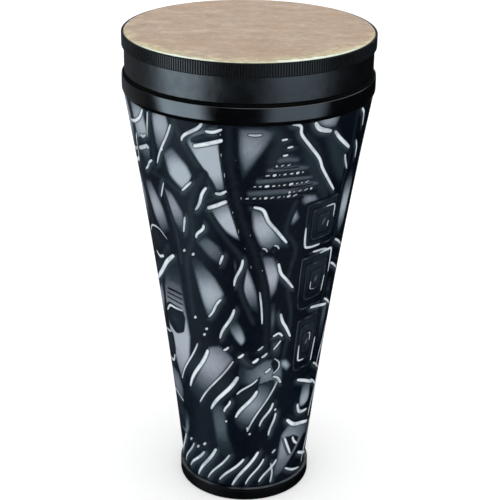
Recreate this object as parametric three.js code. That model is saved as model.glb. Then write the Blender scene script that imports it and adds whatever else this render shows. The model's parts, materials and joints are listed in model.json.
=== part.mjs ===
// A tall conical hand drum whose pretuned head lifts off: a bowed, tapering fibre shell with a printed
// cloth wrap, a moulded collar and a rubber foot, and a 13 inch film head on its own hoop.
// Millimetres, +Z up. The origin is the middle of the foot's underside, on the floor.
import * as THREE from "three";

// How finely round things are cut, and the gap left between pieces that touch.
const SIDES = 72;
const BOW_STEPS = 6;
const GAP = 0.3;

// Whole drum.
const HEIGHT = 671.3;
const HEAD_RADIUS = 165;

// Shell: its wrapped outside runs from the floor to the collar, narrower than a straight cone by BOW.
const WRAP_BOTTOM_RADIUS = 90.1;
const WRAP_TOP_RADIUS = 166.6;
const BOW = 5.2;
const BOW_LOW = 19;
const BOW_HIGH = 591.5;
const WRAP_THICKNESS = 0.7;
const WALL = 4;

// Foot: a rubber channel that the bottom edge of the shell stands in.
const FOOT_RADIUS = 94.9;
const FOOT_HEIGHT = 19;
const FOOT_SOLE = 6;
const FOOT_INNER_LIP = 3;
const FOOT_ROUND = 2.5;

// Collar: a moulded channel over the top edge of the shell, with a mouth that the head's sleeve enters.
const COLLAR_RADIUS = 168.8;
const COLLAR_LOW = 592;
const COLLAR_TOP = 615;
const COLLAR_ROOF = 3;
const COLLAR_BEVEL = 4.5;
const COLLAR_ROUND = 1.2;
const MOUTH_RADIUS = 157.2;
const MOUTH_WALL = 1.8;
const MOUTH_LOW = 580;

// Gasket on the collar, with a sloping outer face that shows as the dark line under the head.
const GASKET_INNER_RADIUS = 157.5;
const GASKET_CREST = 0.6;

// Head: hoop, facing, film, edge tape and the sleeve that locates it in the collar's mouth.
const HOOP_LOW = 619.5;
const HOOP_INNER_RADIUS = 155;
const FACING_THICKNESS = 0.5;
const FILM_THICKNESS = 0.5;
const FILM_EDGE_ROUND = 3.5;
const FILM_SKIRT_LOW = 656;
const TAPE_RADIUS = 168;
const TAPE_LOW = 652.5;
const TAPE_HIGH = 670.6;
const TAPE_ROLL = 1.4;
const SLEEVE_WALL = 3.7;
const SLEEVE_LOW = 585;
const SLEEVE_HIGH = 645;
const SLEEVE_CHAMFER = 2;

// Rubber pads inside the mouth that grip the sleeve.
const PAD_COUNT = 4;
const PAD_ANGLE = THREE.MathUtils.degToRad(20);
const PAD_LOW = 588;
const PAD_HEIGHT = 20;

// Sizes that follow from those.
const CORE_INSET = WRAP_THICKNESS + GAP;
const NECK_RADIUS = WRAP_TOP_RADIUS - CORE_INSET;
const NECK_TOP = COLLAR_TOP - COLLAR_ROOF - GAP;
const CORE_LOW = FOOT_SOLE + GAP;
const WRAP_LOW = CORE_LOW + 1.5;
const HOOP_RADIUS = HEAD_RADIUS - FACING_THICKNESS - GAP;
const FILM_RADIUS = HOOP_RADIUS + GAP + FILM_THICKNESS;
const SLEEVE_RADIUS = HOOP_INNER_RADIUS - GAP;
const HOOP_TOP = HEIGHT - FILM_THICKNESS - GAP;

const MATERIALS = {
  film: new THREE.MeshStandardMaterial({ color: 0xbaa694, roughness: 0.75, metalness: 0 }),
  tape: new THREE.MeshStandardMaterial({ color: 0x1b1e22, roughness: 0.9, metalness: 0 }),
  hoopFibre: new THREE.MeshStandardMaterial({ color: 0x5b4632, roughness: 0.85, metalness: 0 }),
  glossBlack: new THREE.MeshStandardMaterial({ color: 0x16181c, roughness: 0.3, metalness: 0 }),
  mouldedBlack: new THREE.MeshStandardMaterial({ color: 0x141416, roughness: 0.55, metalness: 0 }),
  rubber: new THREE.MeshStandardMaterial({ color: 0x0c0c0d, roughness: 0.8, metalness: 0 }),
  shellFibre: new THREE.MeshStandardMaterial({ color: 0x4e3d2c, roughness: 0.9, metalness: 0 }),
  printedCloth: new THREE.MeshStandardMaterial({ color: 0x3b444d, roughness: 0.45, metalness: 0 }),
};

// Points of an arc in the profile plane, from angle a0 to a1, both ends included.
function arc(r, z, radius, a0, a1, steps) {
  return Array.from({ length: steps + 1 }, (_, i) => {
    const a = a0 + ((a1 - a0) * i) / steps;
    return [r + radius * Math.cos(a), z + radius * Math.sin(a)];
  });
}

// A solid of revolution about Z. The profile lists [radius, height] anticlockwise, seen with the axis on
// the left, and is closed here unless it ends on the axis.
function turned(profile) {
  const points = profile.map(([r, z]) => new THREE.Vector2(r, z));
  if (profile[0][0] > 0) points.push(points[0].clone());
  return new THREE.LatheGeometry(points, SIDES).rotateX(Math.PI / 2);
}

function piece(name, geometry, material) {
  const mesh = new THREE.Mesh(geometry, material);
  mesh.name = name;
  return mesh;
}

// Outside radius of the wrapped shell at height z: a cone with a shallow inward bow.
function wrapRadius(z) {
  const t = (z - BOW_LOW) / (BOW_HIGH - BOW_LOW);
  const cone = THREE.MathUtils.lerp(WRAP_BOTTOM_RADIUS, WRAP_TOP_RADIUS, t);
  return cone - 4 * BOW * t * (1 - t);
}

// The shell's bowed line between two heights, moved inwards by inset, listed upwards.
function bowedLine(low, high, inset) {
  return Array.from({ length: BOW_STEPS + 1 }, (_, i) => {
    const z = low + ((high - low) * i) / BOW_STEPS;
    return [wrapRadius(z) - inset, z];
  });
}

function shellCore() {
  const outside = bowedLine(CORE_LOW, BOW_HIGH, CORE_INSET);
  const inside = bowedLine(CORE_LOW, BOW_HIGH, CORE_INSET + WALL).reverse();
  const neck = [
    [NECK_RADIUS, NECK_TOP],
    [NECK_RADIUS - WALL, NECK_TOP],
  ];
  return piece("shell_core", turned([...outside, ...neck, ...inside]), MATERIALS.shellFibre);
}

function shellWrap() {
  const outside = bowedLine(WRAP_LOW, BOW_HIGH, 0);
  const inside = bowedLine(WRAP_LOW, BOW_HIGH, WRAP_THICKNESS).reverse();
  return piece("shell_wrap", turned([...outside, ...inside]), MATERIALS.printedCloth);
}

function footRing() {
  const coreInner = (z) => wrapRadius(z) - CORE_INSET - WALL - GAP;
  const lipTop = FOOT_HEIGHT - 2;
  const innerLow = coreInner(FOOT_SOLE) - FOOT_INNER_LIP;
  const profile = [
    [innerLow + 1, 0],
    ...arc(FOOT_RADIUS - FOOT_ROUND, FOOT_ROUND, FOOT_ROUND, -Math.PI / 2, 0, 3),
    ...arc(FOOT_RADIUS - 1, FOOT_HEIGHT - 1, 1, 0, Math.PI / 2, 2),
    [wrapRadius(FOOT_HEIGHT) + GAP, FOOT_HEIGHT],
    [wrapRadius(FOOT_SOLE) + GAP, FOOT_SOLE],
    [coreInner(FOOT_SOLE), FOOT_SOLE],
    [coreInner(lipTop), lipTop],
    [coreInner(lipTop) - FOOT_INNER_LIP, lipTop],
    [innerLow, 1],
  ];
  return piece("foot_ring", turned(profile), MATERIALS.rubber);
}

function collarRing() {
  const roofUnder = COLLAR_TOP - COLLAR_ROOF;
  const skirtInner = NECK_RADIUS + GAP;
  const mouthOuter = MOUTH_RADIUS + MOUTH_WALL;
  const profile = [
    [skirtInner, COLLAR_LOW],
    [COLLAR_RADIUS - 1.6, COLLAR_LOW],
    [COLLAR_RADIUS, COLLAR_LOW + COLLAR_BEVEL],
    ...arc(COLLAR_RADIUS - COLLAR_ROUND, COLLAR_TOP - COLLAR_ROUND, COLLAR_ROUND, 0, Math.PI / 2, 3),
    [MOUTH_RADIUS + 1, COLLAR_TOP],
    [MOUTH_RADIUS, COLLAR_TOP - 1],
    [MOUTH_RADIUS, MOUTH_LOW],
    [mouthOuter, MOUTH_LOW],
    [mouthOuter, roofUnder],
    [skirtInner, roofUnder],
  ];
  return piece("collar_ring", turned(profile), MATERIALS.glossBlack);
}

function seatGasket() {
  const low = COLLAR_TOP + GAP;
  const high = HOOP_LOW - GAP;
  const profile = [
    [GASKET_INNER_RADIUS, low],
    [COLLAR_RADIUS - COLLAR_ROUND, low],
    [HEAD_RADIUS - GAP, high - GASKET_CREST],
    [HEAD_RADIUS - GAP - GASKET_CREST, high],
    [GASKET_INNER_RADIUS, high],
  ];
  return piece("seat_gasket", turned(profile), MATERIALS.rubber);
}

// One pad, as an arc-shaped plate standing between the mouth and the sleeve.
function gripPad(index) {
  const middle = ((index + 0.5) * 2 * Math.PI) / PAD_COUNT;
  const from = middle - PAD_ANGLE / 2;
  const to = middle + PAD_ANGLE / 2;
  const outline = new THREE.Shape();
  outline.absarc(0, 0, MOUTH_RADIUS - GAP, from, to, false);
  outline.absarc(0, 0, SLEEVE_RADIUS + GAP, to, from, true);
  outline.closePath();
  const plate = new THREE.ExtrudeGeometry(outline, {
    depth: PAD_HEIGHT,
    bevelEnabled: false,
    curveSegments: 4,
  });
  const pad = piece(`grip_pad_${index + 1}`, plate, MATERIALS.rubber);
  pad.position.z = PAD_LOW;
  return pad;
}

function rimHoop() {
  const round = FILM_EDGE_ROUND - FILM_THICKNESS - GAP;
  const profile = [
    [HOOP_INNER_RADIUS, HOOP_LOW],
    [HOOP_RADIUS, HOOP_LOW],
    ...arc(HOOP_RADIUS - round, HOOP_TOP - round, round, 0, Math.PI / 2, 4).slice(0, -1),
    [HOOP_INNER_RADIUS, HOOP_TOP - 0.5],
  ];
  return piece("rim_hoop", turned(profile), MATERIALS.hoopFibre);
}

function rimFacing() {
  const inner = HOOP_RADIUS + GAP;
  const high = FILM_SKIRT_LOW - GAP;
  const profile = [
    [inner, HOOP_LOW],
    [HEAD_RADIUS, HOOP_LOW],
    [HEAD_RADIUS, high],
    [inner, high],
  ];
  return piece("rim_facing", turned(profile), MATERIALS.glossBlack);
}

function headFilm() {
  const bend = FILM_EDGE_ROUND;
  const centre = [FILM_RADIUS - bend, HEIGHT - bend];
  const outer = arc(...centre, bend, 0, Math.PI / 2, 4);
  const inner = arc(...centre, bend - FILM_THICKNESS, Math.PI / 2, 0, 4);
  const profile = [
    [0, HEIGHT - FILM_THICKNESS],
    ...inner,
    [FILM_RADIUS - FILM_THICKNESS, FILM_SKIRT_LOW],
    [FILM_RADIUS, FILM_SKIRT_LOW],
    ...outer,
    [0, HEIGHT],
  ];
  return piece("head_film", turned(profile), MATERIALS.film);
}

function headTape() {
  const inner = HEAD_RADIUS + GAP;
  const profile = [
    [inner, TAPE_LOW],
    [TAPE_RADIUS - 0.6, TAPE_LOW],
    [TAPE_RADIUS, TAPE_LOW + 0.6],
    ...arc(TAPE_RADIUS - TAPE_ROLL, TAPE_HIGH - TAPE_ROLL, TAPE_ROLL, 0, Math.PI / 2, 3),
    [inner, TAPE_HIGH],
  ];
  return piece("head_tape", turned(profile), MATERIALS.tape);
}

function locatingSleeve() {
  const inner = SLEEVE_RADIUS - SLEEVE_WALL;
  const profile = [
    [inner, SLEEVE_LOW],
    [SLEEVE_RADIUS - SLEEVE_CHAMFER, SLEEVE_LOW],
    [SLEEVE_RADIUS, SLEEVE_LOW + 2 * SLEEVE_CHAMFER],
    [SLEEVE_RADIUS, SLEEVE_HIGH],
    [inner, SLEEVE_HIGH],
  ];
  return piece("locating_sleeve", turned(profile), MATERIALS.mouldedBlack);
}

// Everything that stays on the floor.
const body = new THREE.Group();
body.add(footRing(), shellCore(), shellWrap(), collarRing(), seatGasket());
for (let i = 0; i < PAD_COUNT; i++) body.add(gripPad(i));

// Everything that lifts off together.
const head = new THREE.Group();
head.add(rimHoop(), rimFacing(), headFilm(), headTape(), locatingSleeve());

const drum = new THREE.Group();
drum.add(body, head);

export default drum;
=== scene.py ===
"""Looks for a tall conical hand drum: a printed, bowed shell on a rubber foot, a glossy collar, and a film
head with a ribbed edge tape, which lifts off. Shapes are worked out in millimetres and made in metres.
Angles round the drum start at -Y, which faces the camera, and grow towards +X."""
import json
import math

import bpy
import numpy as np
from mathutils import Matrix, Vector

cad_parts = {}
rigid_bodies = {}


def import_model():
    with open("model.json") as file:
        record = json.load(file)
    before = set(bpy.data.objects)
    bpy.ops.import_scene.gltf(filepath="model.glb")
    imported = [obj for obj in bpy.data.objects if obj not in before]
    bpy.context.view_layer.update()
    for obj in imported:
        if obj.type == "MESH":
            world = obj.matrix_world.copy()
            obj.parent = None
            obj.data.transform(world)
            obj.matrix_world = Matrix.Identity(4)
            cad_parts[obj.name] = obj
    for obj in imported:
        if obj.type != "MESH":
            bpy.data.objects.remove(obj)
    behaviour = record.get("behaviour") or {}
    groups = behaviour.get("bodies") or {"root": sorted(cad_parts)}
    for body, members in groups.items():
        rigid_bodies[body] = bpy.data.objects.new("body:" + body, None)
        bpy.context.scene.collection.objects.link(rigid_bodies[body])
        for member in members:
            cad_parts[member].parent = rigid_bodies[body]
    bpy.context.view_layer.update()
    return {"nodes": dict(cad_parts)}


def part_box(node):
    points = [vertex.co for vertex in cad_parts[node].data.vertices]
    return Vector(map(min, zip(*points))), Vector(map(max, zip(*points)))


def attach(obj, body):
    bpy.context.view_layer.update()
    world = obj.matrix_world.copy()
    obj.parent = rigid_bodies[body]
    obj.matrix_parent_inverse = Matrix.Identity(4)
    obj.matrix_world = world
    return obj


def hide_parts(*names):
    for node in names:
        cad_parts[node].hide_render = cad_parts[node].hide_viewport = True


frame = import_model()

MM = 0.001
SIDES = 288  # how finely most rings are turned

# ---------------------------------------------------------------- sizes, from the frame


def span(node):
    """Inner radius, outer radius, low end and high end of a turned CAD node, in millimetres."""
    points = np.array([v.co for v in frame["nodes"][node].data.vertices]) / MM
    radius = np.hypot(points[:, 0], points[:, 1])
    return radius.min(), radius.max(), points[:, 2].min(), points[:, 2].max()


def outer_curve(node):
    """The outside radius of a turned CAD node as a polynomial in height, both in millimetres."""
    points = np.array([v.co for v in frame["nodes"][node].data.vertices]) / MM
    radius = np.hypot(points[:, 0], points[:, 1])
    heights = np.unique(points[:, 2].round(2))
    widest = [radius[np.abs(points[:, 2] - z) < 0.02].max() for z in heights]
    return np.poly1d(np.polyfit(heights, widest, 2))


wrap_radius = outer_curve("shell_wrap")
FOOT_IN, FOOT_OUT, FLOOR, FOOT_TOP = span("foot_ring")
_, _, WRAP_LOW, WRAP_HIGH = span("shell_wrap")
_, CORE_OUT, CORE_LOW, CORE_TOP = span("shell_core")
MOUTH, COLLAR_OUT, MOUTH_LOW, COLLAR_TOP = span("collar_ring")
GASKET_IN, GASKET_OUT, GASKET_LOW, GASKET_TOP = span("seat_gasket")
HOOP_IN, HOOP_OUT, HOOP_LOW, HOOP_TOP = span("rim_hoop")
FACING_IN, FACING_OUT, FACING_LOW, FACING_TOP = span("rim_facing")
_, FILM_OUT, FILM_LOW, FILM_TOP = span("head_film")
TAPE_IN, TAPE_OUT, TAPE_LOW, TAPE_TOP = span("head_tape")
SLEEVE_IN, SLEEVE_OUT, SLEEVE_LOW, SLEEVE_TOP = span("locating_sleeve")

# Sizes that the frame does not give.
GAP = 0.3  # left between a part and its neighbour
WRAP_THICKNESS = 0.7
CORE_WALL = 4.0
FOOT_SOLE = 6.0
FOOT_WALL = 5.3  # from the outside of the shell to the foot's inner wall
FOOT_INNER_TOP = 17.0
COLLAR_LOW = WRAP_HIGH + 0.5
COLLAR_ROOF = 3.0
MOUTH_WALL = 1.8
FILM_THICKNESS = 0.5
FILM_BEND = 2.0
TAPE_RIBS = 310
RIB_DEPTH = 0.6
PAD_HALF_ANGLE = 9.7  # degrees
PAD_RIDGES = 6
SEAM_ANGLE = 4.5  # degrees that the lap at the back of the wrap covers
SEAM_STEP = 0.3
PRINT_COLUMNS = 600
PRINT_ROWS = 300

# ---------------------------------------------------------------- mesh helpers


def arc(r, z, radius, start, end, steps=8):
    """Profile points along an arc, its angles in degrees anticlockwise from outwards."""
    angles = np.radians(np.linspace(start, end, steps + 1))
    return [(r + radius * math.cos(a), z + radius * math.sin(a)) for a in angles]


def make_mesh(name, points, faces, material, body, nodes, sharp=38):
    """A piece from points in millimetres, standing for CAD nodes and riding on their body."""
    mesh = bpy.data.meshes.new(name)
    mesh.from_pydata([tuple(p) for p in np.asarray(points) * MM], [], faces)
    mesh.validate()
    mesh.polygons.foreach_set("use_smooth", [True] * len(mesh.polygons))
    mesh.set_sharp_from_angle(angle=math.radians(sharp))
    mesh.materials.append(material)
    piece = bpy.data.objects.new(name, mesh)
    bpy.context.scene.collection.objects.link(piece)
    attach(piece, body)
    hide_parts(*nodes)
    return piece


def turned_grid(profile, sides=SIDES, shape=None):
    """Points and faces of a closed profile of (radius, height) turned about Z. shape(angle, r, z) may
    move each point: it takes and returns arrays of radius and height."""
    r, z = np.array(profile, float).T
    angle = np.arange(sides) * 2 * np.pi / sides
    turn, radius = np.meshgrid(angle, r, indexing="ij")
    height = np.broadcast_to(z, turn.shape)
    if shape:
        radius, height = shape(turn, radius, height)
    points = np.stack([radius * np.sin(turn), -radius * np.cos(turn), height], -1).reshape(-1, 3)
    count = len(r)
    faces = []
    for i in range(sides):
        j = (i + 1) % sides
        for k in range(count):
            m = (k + 1) % count
            faces.append((i * count + k, j * count + k, j * count + m, i * count + m))
    return points, faces


def turned(name, profile, material, body, node, sides=SIDES, shape=None, sharp=38):
    """A ring-shaped piece. The profile is anticlockwise, seen with the axis on the left."""
    points, faces = turned_grid(profile, sides, shape)
    return make_mesh(name, points, faces, material, body, [node], sharp)


# ---------------------------------------------------------------- materials


class Nodes:
    """A node tree, with short calls for the nodes that this script uses."""

    def __init__(self, tree):
        self.tree = tree

    def node(self, kind, inputs=None, **settings):
        made = self.tree.nodes.new(kind)
        for key, value in settings.items():
            setattr(made, key, value)
        for key, value in (inputs or {}).items():
            if isinstance(value, bpy.types.NodeSocket):
                self.tree.links.new(value, made.inputs[key])
            else:
                made.inputs[key].default_value = value
        return made

    def math(self, operation, *values):
        return self.node("ShaderNodeMath", dict(enumerate(values)), operation=operation).outputs[0]

    def chain(self, operation, values):
        result = values[0]
        for value in values[1:]:
            result = self.math(operation, result, value)
        return result

    def product(self, *values):
        return self.chain("MULTIPLY", values)

    def total(self, *values):
        return self.chain("ADD", values)

    def remap(self, value, low, high, to_low=0.0, to_high=1.0):
        """The value eased from one range to another, and held at the ends. low may be above high."""
        inputs = {"Value": value, "From Min": low, "From Max": high, "To Min": to_low, "To Max": to_high}
        return self.node("ShaderNodeMapRange", inputs, interpolation_type="SMOOTHSTEP").outputs["Result"]

    def window(self, value, low, high, soft):
        """1 between two limits, falling off softly on either side of each."""
        rising = self.remap(value, low - soft, low + soft)
        return self.product(rising, self.remap(value, high + soft, high - soft))

    def ramp(self, value, *stops):
        """A colour for a value, from stops of (position, colour)."""
        made = self.node("ShaderNodeValToRGB", {"Fac": value})
        elements = made.color_ramp.elements
        while len(elements) < len(stops):
            elements.new(0.5)
        for element, (position, colour) in zip(elements, stops):
            element.position = position
            element.color = (*colour, 1)
        return made.outputs["Color"]

    def mix(self, amount, first, second):
        made = self.node("ShaderNodeMix", {"Factor": amount}, data_type="RGBA")
        for name, value in (("A", first), ("B", second)):
            socket = [s for s in made.inputs if s.name == name and s.type == "RGBA"][0]
            if isinstance(value, bpy.types.NodeSocket):
                self.tree.links.new(value, socket)
            else:
                socket.default_value = (*value, 1)
        return [s for s in made.outputs if s.type == "RGBA"][0]

    def bearing(self, vector):
        """Angle about Z in radians, 0 towards -Y and growing towards +X, and the vector's X, Y and Z."""
        x, y, z = self.node("ShaderNodeSeparateXYZ", {"Vector": vector}).outputs
        return self.math("ARCTAN2", x, self.product(y, -1.0)), x, y, z


class Shader(Nodes):
    """A Principled material on object coordinates."""

    def __init__(self, name, specular):
        self.material = bpy.data.materials.new(name)
        self.material.use_nodes = True
        super().__init__(self.material.node_tree)
        self.surface = self.tree.nodes["Principled BSDF"]
        self.surface.inputs["Specular IOR Level"].default_value = specular
        self.place = self.node("ShaderNodeTexCoord").outputs["Object"]

    def scaled(self, scale, turn=0.0):
        """Object coordinates stretched by a scale for each axis, after a turn about Z."""
        inputs = {"Vector": self.place, "Scale": scale, "Rotation": (0, 0, turn)}
        return self.node("ShaderNodeMapping", inputs).outputs[0]

    def noise(self, scale, detail=4.0, roughness=0.55, vector=None):
        inputs = {"Vector": vector or self.place, "Scale": scale, "Detail": detail, "Roughness": roughness}
        return self.node("ShaderNodeTexNoise", inputs).outputs["Fac"]

    def attribute(self, name):
        return self.node("ShaderNodeAttribute", attribute_name=name).outputs["Fac"]

    def around(self):
        """Angle round the drum in radians, then distance from its axis and height in metres."""
        angle, x, y, z = self.bearing(self.place)
        return angle, self.math("SQRT", self.total(self.product(x, x), self.product(y, y))), z

    def feed(self, name, value):
        """Drive one of the surface's inputs."""
        self.tree.links.new(value, self.surface.inputs[name])

    def colour(self, value):
        self.feed("Base Color", value)

    def rough(self, value, low, high):
        self.feed("Roughness", self.remap(value, 0.3, 0.7, low, high))

    def bump(self, height, distance, strength=1.0):
        inputs = {"Height": height, "Distance": distance, "Strength": strength}
        made = self.node("ShaderNodeBump", inputs)
        if self.surface.inputs["Normal"].is_linked:
            self.tree.links.new(self.surface.inputs["Normal"].links[0].from_socket, made.inputs["Normal"])
        self.tree.links.new(made.outputs["Normal"], self.surface.inputs["Normal"])


def moulded(name, dark, light, rough, grain, grain_depth, ripple, specular):
    """Black rubber or plastic: fine grain, faint ripples, cloudy handling marks and uneven gloss."""
    shader = Shader(name, specular=specular)
    clouds = shader.noise(22, 5)
    shader.colour(shader.ramp(clouds, (0.35, dark), (0.7, light)))
    shader.rough(shader.noise(60, 5, 0.6), *rough)
    shader.bump(shader.noise(48, 4), ripple)
    shader.bump(shader.noise(grain, 3), grain_depth)
    return shader.material


def foot_material():
    """Matt black rubber with a painted highlight, a paler line, along its top edge."""
    shader = Shader("foot_rubber", specular=0.05)
    clouds = shader.noise(22, 5)
    base = shader.ramp(clouds, (0.35, (0.0008, 0.0009, 0.0011)), (0.7, (0.0018, 0.0020, 0.0024)))
    height = shader.around()[2]
    # Painted highlight: a paler grey line along the top edge, broken up by the clouds.
    lip = shader.remap(height, (FOOT_TOP - 1.1) * MM, (FOOT_TOP - 0.3) * MM)
    edge_highlight = shader.product(lip, shader.remap(clouds, 0.35, 0.6))
    shader.colour(shader.mix(edge_highlight, base, (0.08, 0.088, 0.095)))
    shader.rough(shader.noise(60, 5, 0.6), 0.4, 0.55)
    shader.bump(shader.noise(420, 3), 0.00012)
    return shader.material


def suede(shader, flecks, patches, sparks):
    """The colour of the film away from its edge: long flecks, cloudy patches, grain and small sparks."""
    grain = shader.noise(420, 3, 0.7)
    tan = shader.ramp(
        flecks, (0.32, (0.325, 0.233, 0.161)), (0.46, (0.395, 0.287, 0.207)),
        (0.57, (0.432, 0.318, 0.232)), (0.70, (0.545, 0.420, 0.312)),
    )
    for field, low, high, most, colour in (
        (patches, 0.38, 0.66, 0.55, (0.425, 0.306, 0.226)),
        (grain, 0.45, 0.75, 0.2, (0.55, 0.44, 0.34)),
        (sparks, 0.53, 0.66, 0.45, (0.60, 0.465, 0.345)),
        (sparks, 0.46, 0.34, 0.45, (0.33, 0.245, 0.185)),
    ):
        tan = shader.mix(shader.remap(field, low, high, 0.0, most), tan, colour)
    return tan


def film_material():
    """Tan suede film, its flecks running along X. On the near side it has painted glare, a ragged yellow
    margin, and a pale painted highlight along the rim, whiter towards the corners; the far side keeps a
    faint trace of them.
    Distances from the axis are in metres."""
    shader = Shader("suede_film", specular=0.2)
    flecks = shader.noise(80, 6, 0.62, shader.scaled((0.30, 0.72, 1)))
    patches = shader.noise(15, 4, 0.55, shader.scaled((0.6, 1.0, 1), 0.2))
    sparks = shader.noise(210, 4, 0.6, shader.scaled((0.45, 1.0, 1), -0.25))
    tan = suede(shader, flecks, patches, sparks)
    angle, radius, _ = shader.around()
    facing = shader.math("COSINE", angle)
    # near: how strongly the painted glare and painted highlights below show, most on the side towards -Y
    # and faint at the back.
    near = shader.remap(facing, -0.25, 0.55, 0.10, 1.0)
    corners = shader.product(shader.remap(facing, 0.42, 0.74), shader.remap(facing, 0.998, 0.95, 0.2, 1.0))
    closer = shader.remap(facing, 0.4, 1.0, 0.0, 0.004)
    reach = shader.total(closer, shader.product(corners, 0.009))
    ragged = shader.total(radius, shader.remap(flecks, 0.3, 0.7, -0.010, 0.010), reach)
    # Painted glare: a ragged yellow margin in from the film's edge.
    margin = shader.product(
        shader.remap(ragged, 0.148, 0.169, 0.0, 0.85), near, shader.remap(sparks, 0.36, 0.56, 0.62, 1.0)
    )
    yellow = shader.ramp(
        sparks, (0.36, (0.44, 0.37, 0.20)), (0.50, (0.54, 0.465, 0.29)), (0.64, (0.66, 0.63, 0.45))
    )
    tan = shader.mix(margin, tan, yellow)
    wander = shader.remap(shader.noise(30, 3), 0.3, 0.7, -0.0016, 0.0016)
    wander = shader.total(wander, shader.remap(sparks, 0.3, 0.7, -0.001, 0.001))
    edge = shader.total(radius, wander)
    # Painted highlight: a pale line along the rolled edge.
    rim = shader.product(shader.remap(edge, 0.1612, 0.1645), near, 0.45)
    tan = shader.mix(rim, tan, (0.70, 0.71, 0.50))
    # Painted highlight: a whiter line at the very edge, towards the near corners and wider on the right.
    right_side = shader.remap(shader.math("SINE", angle), 0.02, 0.22, 0.0, 0.0030)
    broad = shader.total(edge, shader.product(right_side, shader.remap(facing, 0.80, 0.92)))
    bright = shader.product(shader.remap(broad, 0.1602, 0.1636), corners, 0.95)
    shader.colour(shader.mix(bright, tan, (0.80, 0.90, 0.76)))
    shader.rough(patches, 0.6, 0.8)
    shader.bump(shader.noise(900, 3), 0.00012, 0.6)
    shader.bump(flecks, 0.0002, 0.4)
    return shader.material


def webbing_material():
    """Black ribbed webbing: dull grooves painted darker as shade, and crests of twisted thread with a
    slight shine.
    """
    shader = Shader("black_webbing", specular=0.30)
    angle, radius, height = shader.around()
    crest = shader.remap(radius, (TAPE_OUT - 0.25 * RIB_DEPTH) * MM, (TAPE_OUT - 0.07 * RIB_DEPTH) * MM)
    climb = shader.total(shader.product(height, 5200.0), shader.product(angle, float(TAPE_RIBS)))
    twist = shader.math("SINE", climb)
    thread = shader.remap(twist, -1, 1)
    thread = shader.ramp(thread, (0.0, (0.0006, 0.0007, 0.0010)), (1.0, (0.0020, 0.0024, 0.0032)))
    # Painted shade: the grooves take a darker colour than the thread on the crests.
    shader.colour(shader.mix(crest, (0.0004, 0.0005, 0.0006), thread))
    face = shader.product(crest, shader.remap(height, (TAPE_TOP - 0.6) * MM, (TAPE_TOP - 1.8) * MM))
    polish = shader.remap(shader.noise(140, 4), 0.3, 0.7, 0.70, 0.82)
    shader.feed("Roughness", shader.math("SUBTRACT", 1.0, shader.product(face, polish)))
    shader.bump(twist, 0.00005, 0.5)
    return shader.material


def fibre_material(name, dark, light):
    """Wound paper fibre: helical strip edges, flecks and a sealed, slightly uneven surface."""
    shader = Shader(name, specular=0.3)
    angle, _, height = shader.around()
    strip_width = 0.085  # in metres, along the tube
    winding = shader.total(shader.product(height, 2 * math.pi / strip_width), angle)
    seam = shader.remap(shader.math("COSINE", winding), 0.985, 1.0)
    flecks = shader.noise(170, 6, 0.65, shader.scaled((1, 1, 0.35)))
    clouds = shader.noise(14, 4)
    base = shader.ramp(flecks, (0.3, dark), (0.75, light))
    base = shader.mix(shader.remap(clouds, 0.35, 0.7, 0.0, 0.4), base, dark)
    shader.colour(shader.mix(seam, base, tuple(0.35 * c for c in dark)))
    shader.rough(flecks, 0.6, 0.85)
    shader.bump(flecks, 0.0002, 0.6)
    shader.bump(seam, -0.0004)
    return shader.material


def print_material():
    """Printed cloth under a satin coat. The mesh holds the print: its tone, and the distance in mm to the
    edge of the nearest glint and of the nearest inked line, less than 0 inside them."""
    shader = Shader("printed_cloth", specular=0.12)
    tone = shader.attribute("tone")
    glint = shader.attribute("glint")
    ink = shader.attribute("ink")
    tint = shader.noise(9, 3)
    smear = shader.total(tone, shader.remap(shader.noise(160, 4, 0.6), 0.3, 0.7, -0.02, 0.02))
    cool = shader.ramp(
        smear, (0.0, (0.0012, 0.0036, 0.0080)), (0.24, (0.018, 0.031, 0.041)),
        (0.55, (0.127, 0.160, 0.190)), (0.90, (0.385, 0.443, 0.500)),
    )
    mauve = shader.ramp(
        smear, (0.0, (0.0015, 0.0034, 0.0077)), (0.24, (0.020, 0.0295, 0.040)),
        (0.55, (0.135, 0.156, 0.190)), (0.90, (0.40, 0.436, 0.498)),
    )
    ground = shader.mix(shader.remap(tint, 0.4, 0.62), cool, mauve)
    black = (0.0008, 0.0018, 0.0035)
    ground = shader.mix(shader.remap(glint, 0.0, 2.2), black, ground)
    ground = shader.mix(shader.remap(ink, 0.45, -0.45), ground, black)
    core = shader.ramp(shader.remap(glint, -2.2, 0.3), (0.0, (0.78, 0.86, 0.91)), (1.0, (0.44, 0.51, 0.56)))
    faded = shader.remap(shader.noise(34, 3, 0.6), 0.36, 0.58, 0.62, 0.0)
    core = shader.mix(faded, core, (0.27, 0.32, 0.36))
    ground = shader.mix(shader.remap(glint, 0.45, -0.45), ground, core)
    shader.colour(ground)
    shader.rough(shader.noise(45, 4), 0.34, 0.46)
    shader.bump(shader.noise(1300, 2), 0.00006, 0.5)
    return shader.material


# ---------------------------------------------------------------- the print

REPEAT = 180.0  # the print repeats after this many degrees


def from_middle(angle, middle):
    """Degrees from a middle angle to others, the nearest way round the repeat."""
    return (angle - middle + REPEAT / 2) % REPEAT - REPEAT / 2


def mm_per_degree(height):
    return np.radians(1) * wrap_radius(height)


def smooth_step(low, high, x):
    t = np.clip((x - low) / (high - low), 0, 1)
    return t * t * (3 - 2 * t)


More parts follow.
